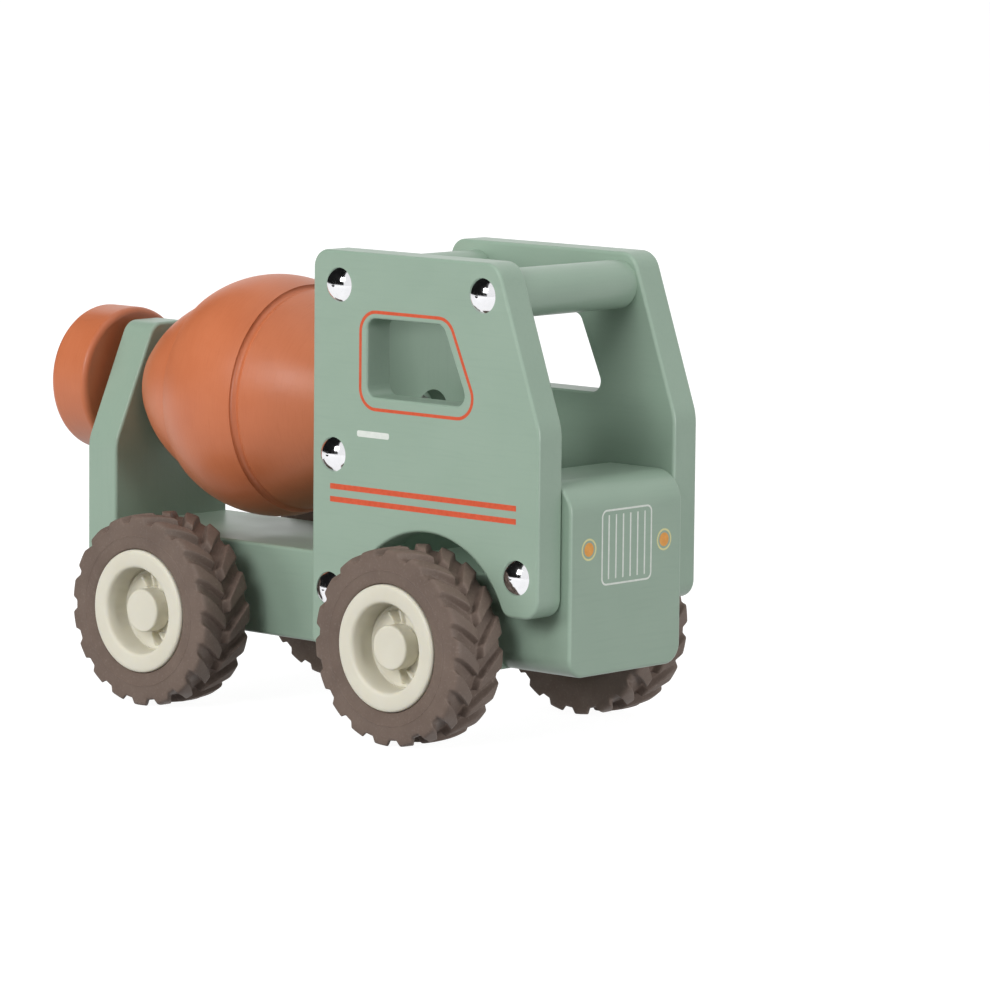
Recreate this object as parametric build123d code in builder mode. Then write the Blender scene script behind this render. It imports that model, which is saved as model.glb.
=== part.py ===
"""Push along cement mixer truck: wooden body, turned drum on a shaft, four rubber-tyred wheels.

Units are millimetres. The origin is on the ground under the middle of the truck,
+X points to the front of the truck, +Y to its left side and +Z up.
"""
from build123d import *
from math import cos, radians, sin, sqrt
import os

os.makedirs("parts", exist_ok=True)

# ---------------------------------------------------------------- driving dimensions
# wooden body
body_half_width = 22.5        # chassis, hood, rear plate and everything between the side panels
panel_thickness = 9.5
board_round = 0.9             # rounding of every painted wooden edge
chassis_underside = 20.2
chassis_height = 25.3
hood_front_x = 100.3
hood_thickness = 25.0
hood_top_z = 72.2
hood_brow_radius = 8.5
hood_belly_radius = 5.5

# side panels, seen from the side
panel_rear_x = 15.0
panel_front_x = 97.2
panel_top_z = 129.5
windscreen_top_x = 81.9
windscreen_foot_z = 86.4
front_foot_z = 36.4
panel_corner = 5.0
arch_rear_round, arch_front_round = 3.0, 3.5
windscreen_foot_round, windscreen_top_round = 14.0, 6.0
window_rear_x = 35.1
window_sill_z = 90.8
window_top_z = 111.9
window_sill_front_x = 72.0
window_lean = 0.443
window_corner = 3.0
window_edge_round = 0.7

# cab
wall_rear_x = 16.0
wall_thickness = 13.5
wall_top_z = 112.0
handle_radius = 6.6
handle_x, handle_z = 76.7, 120.7
rear_dowel_x, rear_dowel_z = 24.6, 120.2

# wheels
tyre_radius = 26.6
tread_depth = 2.3
tyre_shoulder_round = 1.5
tyre_inner_t, tyre_outer_t = 28.6, 46.7   # t is the distance outwards from the axle's middle
lug_count = 18
wheel_arch_radius = 29.4
front_axle_x, rear_axle_x = 57.3, -36.8
axle_radius = 2.0
axle_shift = -0.8             # the axles rest against the right end of their end play
rim_radius = 17.1
rim_face_t = 47.2
barrel_radius = 15.5
rim_inner_t, rim_back_t = 29.4, 35.5
flange_seat_t = 45.4
dish_radius = 11.8
dish_floor_t = 38.0
slot_count = 5                # recessed slots in the dish floor, each between two raised ribs
slot_width, slot_depth = 2.6, 1.6
rib_width, rib_height = 1.2, 1.1
slot_inner, slot_outer = 6.4, 9.0
first_slot_angle = 83.0       # from level, on the wheel's outer side
hub_radius, hub_end_t = 8.5, 24.1
boss_radius, boss_end_t = 4.4, 42.5
axle_end_t = 41.5
hub_cap_radius = 6.05
hub_cap_face_t = 45.2
hub_cap_edge_round = 0.6
tread_turn = {"front": 0.0, "rear": 5.2}   # degrees that each axle happens to be turned by

# drum, shaft and knob
drum_axis_z = 83.8
drum_rear_x, drum_front_x = -69.0, 11.0
drum_centre_x = -29.0
drum_radius = 34.0
drum_groove_x = -16.0
shaft_radius = 3.0
knob_radius = 20.8
knob_rear_x, knob_front_x = -100.7, -86.4
knob_rear_round, knob_front_round = 2.4, 1.8
spacer_radius = 6.0

# rear plate
plate_front_x = -71.8
plate_thickness = 11.5
plate_top_z = 101.6
plate_kink_z = 68.6
plate_lean = 0.456            # sideways run of the sloping edges for each millimetre of height
plate_half_width = 22.2
plate_corner = 5.0
plate_kink_round = 12.0

# fits and fasteners
running_clearance = 0.05
body_gap = 0.3
screw_head_radius = 4.7
screw_head_height = 2.3
screw_shank_radius = 1.7
screw_bite = 14.0

# ---------------------------------------------------------------- worked out from those
axle_z = tyre_radius
deck_z = chassis_underside + chassis_height
hood_rear_x = hood_front_x - hood_thickness
panel_outer_y = body_half_width + panel_thickness
wall_front_x = wall_rear_x + wall_thickness
plate_rear_x = plate_front_x - plate_thickness
axle_places = {"front": front_axle_x, "rear": rear_axle_x}
# screws through each side panel: two into the dowels, then wall, hood and chassis
panel_screw_places = [
    (rear_dowel_x, rear_dowel_z),
    (handle_x, handle_z),
    (wall_rear_x + wall_thickness / 2, 74.2),
    (89.6, 47.2),
    (21.5, 37.4),
]
hood_pin_places = [(-11.0, 33.0), (11.0, 33.0)]
hood_pin_radius = 4.0
hood_pin_depth = 12.0
hood_pin_chamfer = 0.8
plate_screw_places = [(-11.0, 33.0), (11.0, 33.0)]
plate_screw_radius = 2.0
plate_screw_length = 34.0
plate_screw_head_radius = 4.0
plate_screw_recess = 2.0
pocket_radius, pocket_depth = 6.2, 5.5   # hollow in the cab wall for the end of the shaft
plate_screw_slot_length, plate_screw_slot_width, plate_screw_slot_depth = 4.2, 0.9, 1.1
drum_axis = Axis((0, 0, drum_axis_z), (1, 0, 0))


def finish(piece, name):
    """Label a finished piece and write it as its own STEP file."""
    piece.label = name
    export_step(piece, f"parts/{name}.step")


def side_view(y):
    """Plane along the truck at the given y, its normal to the right: local x is X, local y is Z."""
    return Plane.XZ.offset(-y)


def section_at(x):
    """Plane across the truck at the given x, its normal forwards: local x is Y, local y is Z."""
    return Plane.YZ.offset(x)


def panel_screw_holes(places, depth):
    """Cut pilot holes in from both sides of the body at the given side-view places."""
    for side in (-1, 1):
        start = side_view(side * body_half_width)
        with BuildSketch(start) as holes:
            with Locations(*places):
                Circle(screw_shank_radius + running_clearance)
        extrude(holes.sketch, amount=side * depth, mode=Mode.SUBTRACT)


# ---------------------------------------------------------------- chassis beam
with BuildPart() as chassis_beam:
    with BuildSketch(Plane.XY.offset(chassis_underside)):
        with Locations(((plate_front_x + hood_rear_x) / 2, 0)):
            Rectangle(hood_rear_x - plate_front_x, 2 * body_half_width)
    extrude(amount=chassis_height)
    fillet(chassis_beam.edges().filter_by(Axis.X), board_round)
    with BuildSketch(side_view(-body_half_width)):
        with Locations((front_axle_x, axle_z), (rear_axle_x, axle_z)):
            Circle(axle_radius + running_clearance)
    extrude(amount=-2 * body_half_width, mode=Mode.SUBTRACT)
    with BuildSketch(section_at(hood_rear_x)):
        with Locations(*hood_pin_places):
            Circle(hood_pin_radius + running_clearance)
    extrude(amount=-hood_pin_depth - body_gap, mode=Mode.SUBTRACT)
    with BuildSketch(section_at(plate_front_x)):
        with Locations(*plate_screw_places):
            Circle(plate_screw_radius + running_clearance)
    extrude(amount=plate_screw_length, mode=Mode.SUBTRACT)
    panel_screw_holes(panel_screw_places[4:], screw_bite + body_gap)
finish(chassis_beam.part, "chassis_beam")

# ---------------------------------------------------------------- hood block
with BuildPart() as hood_block:
    with BuildSketch(Plane.XY.offset(chassis_underside)):
        with Locations((hood_front_x - hood_thickness / 2, 0)):
            Rectangle(hood_thickness, 2 * body_half_width)
    extrude(amount=hood_top_z - chassis_underside)
    fillet(hood_block.edges().filter_by(Axis.X).group_by(Axis.Z)[0], hood_belly_radius)
    fillet(hood_block.edges().filter_by(Axis.Y).group_by(Axis.Z)[-1].sort_by(Axis.X)[-1], hood_brow_radius)
    fillet(hood_block.faces().sort_by(Axis.X)[-1].edges().group_by(Axis.Z)[0:-1], board_round)
    with BuildSketch(section_at(hood_rear_x)):
        with Locations(*hood_pin_places):
            Circle(hood_pin_radius + running_clearance)
    extrude(amount=hood_pin_depth + body_gap, mode=Mode.SUBTRACT)
    panel_screw_holes(panel_screw_places[3:4], screw_bite + body_gap)
finish(hood_block.part, "hood_block")

with BuildPart() as hood_pins:
    with BuildSketch(section_at(hood_rear_x - hood_pin_depth)):
        with Locations(*hood_pin_places):
            Circle(hood_pin_radius)
    extrude(amount=2 * hood_pin_depth)
    chamfer(hood_pins.edges(), hood_pin_chamfer)
finish(hood_pins.part, "hood_joining_pins")

# ---------------------------------------------------------------- rear plate that carries the drum
plate_top_half = plate_half_width - plate_lean * (plate_top_z - plate_kink_z)
with BuildPart() as rear_plate:
    with BuildSketch(section_at(plate_rear_x)) as plate_outline:
        Polygon(
            (-plate_half_width, chassis_underside),
            (plate_half_width, chassis_underside),
            (plate_half_width, plate_kink_z),
            (plate_top_half, plate_top_z),
            (-plate_top_half, plate_top_z),
            (-plate_half_width, plate_kink_z),
            align=None,
        )
        fillet(plate_outline.vertices().group_by(Axis.Y)[-1], plate_corner)
        kinks = plate_outline.vertices().filter_by_position(Axis.Y, plate_kink_z - 1, plate_kink_z + 1)
        fillet(kinks, plate_kink_round)
    extrude(amount=plate_thickness)
    fillet(rear_plate.faces().sort_by(Axis.X)[0].edges(), board_round)
    fillet(rear_plate.faces().sort_by(Axis.X)[-1].edges(), board_round)
    with BuildSketch(section_at(plate_rear_x)):
        with Locations((0, drum_axis_z)):
            Circle(shaft_radius + running_clearance)
        with Locations(*plate_screw_places):
            Circle(plate_screw_radius + running_clearance)
    extrude(amount=plate_thickness, mode=Mode.SUBTRACT)
    with BuildSketch(section_at(plate_rear_x)):
        with Locations(*plate_screw_places):
            Circle(plate_screw_head_radius + running_clearance)
    extrude(amount=plate_screw_recess, mode=Mode.SUBTRACT)
finish(rear_plate.part, "rear_plate")

with BuildPart() as rear_plate_screws:
    with BuildSketch(section_at(plate_rear_x)):
        with Locations(*plate_screw_places):
            Circle(plate_screw_head_radius)
    extrude(amount=plate_screw_recess)
    with BuildSketch(section_at(plate_rear_x + plate_screw_recess)):
        with Locations(*plate_screw_places):
            Circle(plate_screw_radius)
    extrude(amount=plate_screw_length)
    with BuildSketch(section_at(plate_rear_x)):
        with Locations(*plate_screw_places):
            Rectangle(plate_screw_slot_length, plate_screw_slot_width)
            Rectangle(plate_screw_slot_width, plate_screw_slot_length)
    extrude(amount=plate_screw_slot_depth, mode=Mode.SUBTRACT)
finish(rear_plate_screws.part, "rear_plate_screws")


# ---------------------------------------------------------------- side panels
def near(outline, x, z):
    """The vertex of an outline closest to a side-view point."""
    return outline.vertices().sort_by_distance(Vector(x, z, 0))[0]


arch_reach_front = sqrt(wheel_arch_radius**2 - (front_foot_z - axle_z) ** 2)
arch_reach_rear = sqrt(wheel_arch_radius**2 - (chassis_underside - axle_z) ** 2)
for side, side_name in ((-1, "right"), (1, "left")):
    with BuildPart() as side_panel:
        with BuildSketch(side_view(side * body_half_width)) as outline:
            Polygon(
                (panel_rear_x, chassis_underside),
                (front_axle_x, chassis_underside),
                (front_axle_x, front_foot_z),
                (panel_front_x, front_foot_z),
                (panel_front_x, windscreen_foot_z),
                (windscreen_top_x, panel_top_z),
                (panel_rear_x, panel_top_z),
                align=None,
            )
            with Locations((front_axle_x, axle_z)):
                Circle(wheel_arch_radius, mode=Mode.SUBTRACT)
            fillet(near(outline, front_axle_x - arch_reach_rear, chassis_underside), arch_rear_round)
            fillet(near(outline, front_axle_x + arch_reach_front, front_foot_z), arch_front_round)
            fillet(near(outline, panel_rear_x, chassis_underside), panel_corner)
            fillet(near(outline, panel_front_x, front_foot_z), panel_corner)
            fillet(near(outline, panel_front_x, windscreen_foot_z), windscreen_foot_round)
            fillet(near(outline, windscreen_top_x, panel_top_z), windscreen_top_round)
            fillet(near(outline, panel_rear_x, panel_top_z), panel_corner)
        extrude(amount=-side * panel_thickness)
        with BuildSketch(side_view(side * body_half_width)) as window:
            Polygon(
                (window_rear_x, window_sill_z),
                (window_sill_front_x, window_sill_z),
                (window_sill_front_x - window_lean * (window_top_z - window_sill_z), window_top_z),
                (window_rear_x, window_top_z),
                align=None,
            )
            fillet(window.vertices(), window_corner)
        extrude(amount=-side * panel_thickness, mode=Mode.SUBTRACT)
        for end in (0, -1):
            fillet(side_panel.faces().sort_by(Axis.Y)[end].outer_wire().edges(), board_round)
            fillet(side_panel.faces().sort_by(Axis.Y)[end].inner_wires()[0].edges(), window_edge_round)
        with BuildSketch(side_view(side * body_half_width)):
            with Locations(*panel_screw_places):
                Circle(screw_shank_radius + running_clearance)
        extrude(amount=-side * panel_thickness, mode=Mode.SUBTRACT)
    finish(side_panel.part, f"side_panel_{side_name}")

    # dome-headed screws of this side, one solid each
    dome_radius = (screw_head_radius**2 + screw_head_height**2) / (2 * screw_head_height)
    dome_rim = (screw_head_radius, panel_outer_y)
    dome_top = (0, panel_outer_y + screw_head_height)
    screw_tip = panel_outer_y - panel_thickness - screw_bite
    with BuildPart() as panel_screws:
        for x, z in panel_screw_places:
            with BuildSketch(Plane((x, 0, z), x_dir=(1, 0, 0), z_dir=(0, 0, side))):
                with BuildLine():
                    Polyline(
                        dome_top,
                        (0, screw_tip),
                        (screw_shank_radius, screw_tip + 2 * screw_shank_radius),
                        (screw_shank_radius, panel_outer_y),
                        dome_rim,
                    )
                    RadiusArc(dome_rim, dome_top, -dome_radius)
                make_face()
            revolve(axis=Axis((x, 0, z), (0, 1, 0)))
    finish(panel_screws.part, f"panel_screws_{side_name}")

# ---------------------------------------------------------------- cab rear wall and the two dowels
with BuildPart() as cab_rear_wall:
    with BuildSketch(section_at(wall_rear_x)):
        with Locations((0, (deck_z + wall_top_z) / 2)):
            Rectangle(2 * body_half_width, wall_top_z - deck_z)
    extrude(amount=wall_thickness)
    fillet(cab_rear_wall.edges().filter_by(Axis.Y).group_by(Axis.Z)[-1], board_round)
    with BuildSketch(section_at(wall_rear_x)):
        with Locations((0, drum_axis_z)):
            Circle(shaft_radius + running_clearance)
    extrude(amount=wall_thickness, mode=Mode.SUBTRACT)
    with BuildSketch(section_at(wall_front_x)):
        with Locations((0, drum_axis_z)):
            Circle(pocket_radius)
    extrude(amount=-pocket_depth, mode=Mode.SUBTRACT)
    panel_screw_holes(panel_screw_places[2:3], screw_bite + body_gap)
finish(cab_rear_wall.part, "cab_rear_wall")

dowel_places = {"front_handle_dowel": (handle_x, handle_z), "rear_top_dowel": (rear_dowel_x, rear_dowel_z)}
for name, (x, z) in dowel_places.items():
    with BuildPart() as dowel:
        with BuildSketch(side_view(-body_half_width)):
            with Locations((x, z)):
                Circle(handle_radius)
        extrude(amount=-2 * body_half_width)
        panel_screw_holes([(x, z)], screw_bite + body_gap)
    finish(dowel.part, name)

# ---------------------------------------------------------------- turned drum
groove_half, groove_depth = 1.2, 1.1
ball_start_x = drum_centre_x - 16.0
neck_x, neck_radius = drum_centre_x - 17.5, 27.3      # crease where the tapering neck begins
neck_middle = (-58.5, 22.5)                           # x and radius half way along the hollow neck
rear_end_radius, front_end_radius = 15.2, 17.4
lip, lip_rise, lip_radius = 1.4, 1.2, 2.2             # rounding of the two ends
front_middle = (-2.0, 25.3)


def ball_radius(x):
    """Radius of the round middle of the drum at a given x."""
    return sqrt(drum_radius**2 - (x - drum_centre_x) ** 2)


with BuildPart() as drum_barrel:
    with BuildSketch(Plane((0, 0, drum_axis_z), x_dir=(1, 0, 0), z_dir=(0, -1, 0))):
        with BuildLine():
            bore = (drum_rear_x, shaft_radius + running_clearance / 2)
            front_bore = (drum_front_x, shaft_radius + running_clearance / 2)
            rear_rim = (drum_rear_x, rear_end_radius - lip_rise)
            rear_lip = (drum_rear_x + lip, rear_end_radius + lip_rise / 2)
            neck = (neck_x, neck_radius)
            ball_start = (ball_start_x, ball_radius(ball_start_x))
            groove_rear = (drum_groove_x - groove_half, ball_radius(drum_groove_x - groove_half))
            groove_floor = (drum_groove_x, ball_radius(drum_groove_x) - groove_depth)
            groove_front = (drum_groove_x + groove_half, ball_radius(drum_groove_x + groove_half) - 0.2)
            front_lip = (drum_front_x - lip, front_end_radius + lip_rise)
            front_rim = (drum_front_x, front_end_radius - lip_rise)
            Line(bore, rear_rim)
            RadiusArc(rear_rim, rear_lip, lip_radius)
            ThreePointArc(rear_lip, neck_middle, neck)
            Line(neck, ball_start)
            ThreePointArc(ball_start, (drum_centre_x, drum_radius), groove_rear)
            ThreePointArc(groove_rear, groove_floor, groove_front)
            ThreePointArc(groove_front, front_middle, front_lip)
            RadiusArc(front_lip, front_rim, lip_radius)
            Line(front_rim, front_bore)
            Line(front_bore, bore)
        make_face()
    revolve(axis=drum_axis)
finish(drum_barrel.part, "drum_barrel")

# ---------------------------------------------------------------- shaft, knob, spacers and retainer
pocket_floor_x = wall_front_x - pocket_depth
knob_cap = 3.0                # wood left behind the blind end of the shaft
shaft_rear_x = knob_rear_x + knob_cap
shaft_front_x = pocket_floor_x + body_gap
retainer_washer_radius, retainer_washer_thickness = 4.4, 1.0
retainer_head_x = shaft_front_x + retainer_washer_thickness
retainer_head_radius, retainer_head_height, retainer_head_round = 3.0, 2.0, 0.9
retainer_slot_length, retainer_slot_width, retainer_slot_depth = 2.8, 0.7, 1.0
retainer_screw_radius = 1.4
retainer_bite = 12.0
with BuildPart() as drum_shaft:
    with BuildSketch(section_at(shaft_rear_x)):
        with Locations((0, drum_axis_z)):
            Circle(shaft_radius)
    extrude(amount=shaft_front_x - shaft_rear_x)
    with BuildSketch(section_at(shaft_front_x)):
        with Locations((0, drum_axis_z)):
            Circle(retainer_screw_radius + running_clearance)
    extrude(amount=-retainer_bite - body_gap, mode=Mode.SUBTRACT)
finish(drum_shaft.part, "drum_shaft")

with BuildPart() as drum_knob:
    with BuildSketch(section_at(knob_rear_x)):
        with Locations((0, drum_axis_z)):
            Circle(knob_radius)
    extrude(amount=knob_front_x - knob_rear_x)
    fillet(drum_knob.edges().sort_by(Axis.X)[0], knob_rear_round)
    fillet(drum_knob.edges().sort_by(Axis.X)[-1], knob_front_round)
    with BuildSketch(section_at(knob_front_x)):
        with Locations((0, drum_axis_z)):
            Circle(shaft_radius + running_clearance / 2)
    extrude(amount=shaft_rear_x - knob_front_x, mode=Mode.SUBTRACT)
finish(drum_knob.part, "drum_knob")


def ring(name, start_x, end_x, outer, inner):
    """A plain washer or spacer around the drum's axis."""
    with BuildPart() as washer:
        with BuildSketch(section_at(start_x)):
            with Locations((0, drum_axis_z)):
                Circle(outer)
                Circle(inner, mode=Mode.SUBTRACT)
        extrude(amount=end_x - start_x)
    finish(washer.part, name)


spacer_bore = shaft_radius + running_clearance / 2
ring("knob_spacer", knob_front_x, plate_rear_x - body_gap, spacer_radius, spacer_bore)
ring("drum_rear_spacer", plate_front_x + body_gap, drum_rear_x, spacer_radius, spacer_bore)
ring("drum_front_spacer", drum_front_x, wall_rear_x - body_gap, spacer_radius, spacer_bore)
retainer_bore = retainer_screw_radius + running_clearance
ring("shaft_retaining_washer", shaft_front_x, retainer_head_x, retainer_washer_radius, retainer_bore)
with BuildPart() as retainer_screw:
    with BuildSketch(section_at(retainer_head_x)):
        with Locations((0, drum_axis_z)):
            Circle(retainer_head_radius)
    extrude(amount=retainer_head_height)
    fillet(retainer_screw.edges().sort_by(Axis.X)[-1], retainer_head_round)
    with BuildSketch(section_at(retainer_head_x)):
        with Locations((0, drum_axis_z)):
            Circle(retainer_screw_radius)
    extrude(amount=-retainer_bite - body_gap)
    with BuildSketch(section_at(retainer_head_x + retainer_head_height)):
        with Locations((0, drum_axis_z)):
            Rectangle(retainer_slot_length, retainer_slot_width)
            Rectangle(retainer_slot_width, retainer_slot_length)
    extrude(amount=-retainer_slot_depth, mode=Mode.SUBTRACT)
finish(retainer_screw.part, "shaft_retaining_screw")

# ---------------------------------------------------------------- axles and their washers
axle_washer_t = hub_end_t - 0.5
axle_washer_radius = 5.0
axle_end_chamfer = 0.4
for axle_name, x in axle_places.items():
    with BuildPart() as axle:
        with BuildSketch(side_view(axle_shift - axle_end_t)):
            with Locations((x, axle_z)):
                Circle(axle_radius)
        extrude(amount=-2 * axle_end_t)
        chamfer(axle.edges(), axle_end_chamfer)
    finish(axle.part, f"{axle_name}_axle")
    with BuildPart() as axle_washers:
        for side in (-1, 1):
            with BuildSketch(side_view(axle_shift + side * axle_washer_t)):
                with Locations((x, axle_z)):
                    Circle(axle_washer_radius)
                    Circle(axle_radius + running_clearance, mode=Mode.SUBTRACT)
            extrude(amount=-side * (hub_end_t - axle_washer_t))
    finish(axle_washers.part, f"{axle_name}_axle_washers")


# ---------------------------------------------------------------- wheels
def turned(outline, x, side):
    """Turn a closed outline of (radius, t) points about the axle at x, t growing to the given side."""
    with BuildSketch(Plane((x, axle_shift, axle_z), x_dir=(1, 0, 0), z_dir=(0, 0, side))) as profile:
        with BuildLine():
            Polyline(*outline, close=True)
        make_face()
    revolve(profile.sketch, axis=Axis((x, 0, axle_z), (0, 1, 0)))


def beside_wheel(x, side, t):
    """Plane across the wheel at distance t, its normal pointing outwards, local y upwards."""
    return Plane((x, axle_shift + side * t, axle_z), x_dir=(-side, 0, 0), z_dir=(0, side, 0))


def make_rim(x, side):
    """Moulded rim: flange, dish, a floor with ribbed slots and a hub for the axle."""
    wall = 1.9
    hub_flange_t = hub_end_t + 3.0
    floor_plane = beside_wheel(x, side, dish_floor_t)
    slot_places = [Rotation(0, 0, first_slot_angle + k * 360 / slot_count) for k in range(slot_count)]
    with BuildPart() as rim:
        turned([
            (0, hub_end_t), (hub_radius, hub_end_t), (hub_radius, hub_flange_t),
            (slot_inner, hub_flange_t), (slot_inner, rim_back_t),
            (barrel_radius - wall, rim_back_t), (barrel_radius - wall, rim_inner_t),
            (barrel_radius, rim_inner_t), (barrel_radius, flange_seat_t),
            (rim_radius, flange_seat_t), (rim_radius, rim_face_t - 0.7),
            (rim_radius - 1.5, rim_face_t), (dish_radius + 1.6, rim_face_t),
            (dish_radius, rim_face_t - 1.2), (slot_outer + 0.6, dish_floor_t + 2.5),
            (slot_outer + 0.2, dish_floor_t), (boss_radius, dish_floor_t),
            (boss_radius, boss_end_t), (0, boss_end_t),
        ], x, side)
        with BuildSketch(floor_plane):
            with Locations(*slot_places):
                with Locations((slot_inner, 0)):
                    Rectangle(slot_outer - slot_inner, slot_width + 2 * rib_width,
                              align=(Align.MIN, Align.CENTER))
        extrude(amount=rib_height)
        with BuildSketch(floor_plane.offset(rib_height)):
            with Locations(*slot_places):
                with Locations((slot_inner, 0)):
                    Rectangle(slot_outer - slot_inner, slot_width, align=(Align.MIN, Align.CENTER))
        extrude(amount=-rib_height - slot_depth, mode=Mode.SUBTRACT)
        with BuildSketch(beside_wheel(x, side, hub_end_t)):
            Circle(axle_radius + running_clearance / 2)
        extrude(amount=axle_end_t - hub_end_t + running_clearance, mode=Mode.SUBTRACT)
    return rim.part


def make_hub_cap(x, side):
    """Round cap pressed over the rim's boss, hiding the end of the axle."""
    with BuildPart() as hub_cap:
        with BuildSketch(beside_wheel(x, side, dish_floor_t)):
            Circle(hub_cap_radius)
        extrude(amount=hub_cap_face_t - dish_floor_t)
        fillet(hub_cap.edges().sort_by(Axis.Y)[-1 if side > 0 else 0], hub_cap_edge_round)
        with BuildSketch(beside_wheel(x, side, dish_floor_t)):
            Circle(boss_radius + running_clearance / 2)
        extrude(amount=boss_end_t - dish_floor_t + running_clearance, mode=Mode.SUBTRACT)
    return hub_cap.part


def make_tyre_lugs(x, side, turn, middle_t, half_width, carcass_radius):
    """Two staggered rows of sloping lugs, each from a shoulder in to the middle of the tread."""
    lug_root = 2.5
    lug_start, lug_slope = 0.5, 0.83
    middle_half_lug, shoulder_half_lug = 1.6, 2.6
    lug_outline = [
        (lug_start, -middle_half_lug),
        (half_width, lug_slope * half_width - shoulder_half_lug),
        (half_width, lug_slope * half_width + shoulder_half_lug),
        (lug_start, middle_half_lug),
    ]
    with BuildPart() as lugs:
        for half in (-1, 1):
            for k in range(lug_count):
                stagger = 0 if half == side else 0.5
                angle = radians(turn + (k + stagger) * 360 / lug_count)
                outwards = Plane((x, axle_shift + side * middle_t, axle_z), x_dir=(0, 1, 0),
                                 z_dir=(sin(angle), 0, -cos(angle)))
                with BuildSketch(outwards.offset(carcass_radius - lug_root)):
                    Polygon(*[(half * across, along) for across, along in lug_outline], align=None)
                extrude(amount=lug_root + 2 * tread_depth)
    return lugs.part


def make_tyre_envelope(x, side):
    """The space inside the tyre's outer shape, with slightly rounded shoulders."""
    bead_radius = barrel_radius + running_clearance
    with BuildPart() as envelope:
        with BuildSketch(Plane((x, axle_shift, axle_z), x_dir=(1, 0, 0), z_dir=(0, 0, side))) as profile:
            with Locations(((bead_radius + tyre_radius) / 2, (tyre_inner_t + tyre_outer_t) / 2)):
                Rectangle(tyre_radius - bead_radius, tyre_outer_t - tyre_inner_t)
            fillet(profile.vertices().group_by(Axis.X)[-1], tyre_shoulder_round)
        revolve(profile.sketch, axis=Axis((x, 0, axle_z), (0, 1, 0)))
    return envelope.part


def make_tyre(x, side, turn):
    """Rubber ring with its lugs, cut to the rounded outer shape."""
    middle_t = (tyre_inner_t + tyre_outer_t) / 2
    half_width = tyre_outer_t - middle_t
    carcass_radius = tyre_radius - tread_depth
    side_radius, wall_radius, shoulder_radius = 20.8, 23.0, 24.8
    bead_radius = barrel_radius + running_clearance
    lugs = make_tyre_lugs(x, side, turn, middle_t, half_width, carcass_radius)
    envelope = make_tyre_envelope(x, side)
    with BuildPart() as tyre:
        turned([
            (bead_radius, tyre_inner_t + 1.0), (rim_radius, tyre_inner_t + 0.5),
            (side_radius, tyre_inner_t + 0.1), (wall_radius, tyre_inner_t + 0.1),
            (shoulder_radius, tyre_inner_t + 0.9), (carcass_radius, tyre_inner_t + 4.0),
            (carcass_radius, tyre_outer_t - 4.0), (shoulder_radius, tyre_outer_t - 0.9),
            (wall_radius, tyre_outer_t - 0.1), (side_radius, tyre_outer_t - 0.1),
            (rim_radius + 0.1, tyre_outer_t - 0.5),
            (rim_radius + 0.1, flange_seat_t), (bead_radius, flange_seat_t),
        ], x, side)
        add(lugs)
        add(envelope, mode=Mode.INTERSECT)
    return tyre.part


for axle_name, x in axle_places.items():
    for side, side_name in ((-1, "right"), (1, "left")):
        wheel = f"wheel_{axle_name}_{side_name}"
        finish(make_rim(x, side), f"{wheel}_rim")
        finish(make_hub_cap(x, side), f"{wheel}_hub_cap")
        finish(make_tyre(x, side, tread_turn[axle_name]), f"{wheel}_tyre")
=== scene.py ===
"""Looks of the push along cement mixer truck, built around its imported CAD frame.

Everything is in metres in the frame's own axes: +X to the front, +Y to the left side, +Z up.
"""
import math

import bmesh
import bpy
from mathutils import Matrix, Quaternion, Vector


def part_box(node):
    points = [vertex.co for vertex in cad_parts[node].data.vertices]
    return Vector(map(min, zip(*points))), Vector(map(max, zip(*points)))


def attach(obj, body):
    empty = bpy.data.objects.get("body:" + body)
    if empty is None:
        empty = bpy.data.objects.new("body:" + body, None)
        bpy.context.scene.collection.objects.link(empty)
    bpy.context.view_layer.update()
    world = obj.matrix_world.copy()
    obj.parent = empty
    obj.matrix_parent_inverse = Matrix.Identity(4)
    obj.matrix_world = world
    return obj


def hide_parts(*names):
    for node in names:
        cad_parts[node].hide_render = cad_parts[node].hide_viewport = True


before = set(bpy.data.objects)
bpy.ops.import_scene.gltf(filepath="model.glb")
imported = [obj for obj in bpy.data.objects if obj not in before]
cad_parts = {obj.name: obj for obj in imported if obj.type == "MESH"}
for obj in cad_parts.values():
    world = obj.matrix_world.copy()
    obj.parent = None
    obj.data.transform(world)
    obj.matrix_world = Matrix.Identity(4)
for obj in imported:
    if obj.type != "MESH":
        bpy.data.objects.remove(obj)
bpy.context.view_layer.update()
MM = 0.001
scene = bpy.context.scene
scene.view_settings.view_transform = "Standard"
scene.view_settings.look = "None"


# ---------------------------------------------------------------- camera
def towards(azimuth, elevation):
    """Unit vector towards an azimuth (0 is -Y, 90 is +X) and an elevation, both in degrees."""
    a, e = math.radians(azimuth), math.radians(elevation)
    return Vector((math.sin(a) * math.cos(e), -math.cos(a) * math.cos(e), math.sin(e)))


def aimed(obj, at):
    """Turn an object so that its -Z axis points at a place."""
    obj.rotation_mode = "QUATERNION"
    obj.rotation_quaternion = (at - obj.location).to_track_quat("-Z", "Y")


CAMERA_AZIMUTH, CAMERA_ELEVATION, CAMERA_ROLL = 42.175, 7.164, 0.567
CAMERA_DISTANCE = 1.495
CAMERA_LENS, SENSOR_WIDTH = 200.73, 36.0      # millimetres
LOOKED_AT = Vector((52.94, 0.0, 63.09)) * MM

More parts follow.
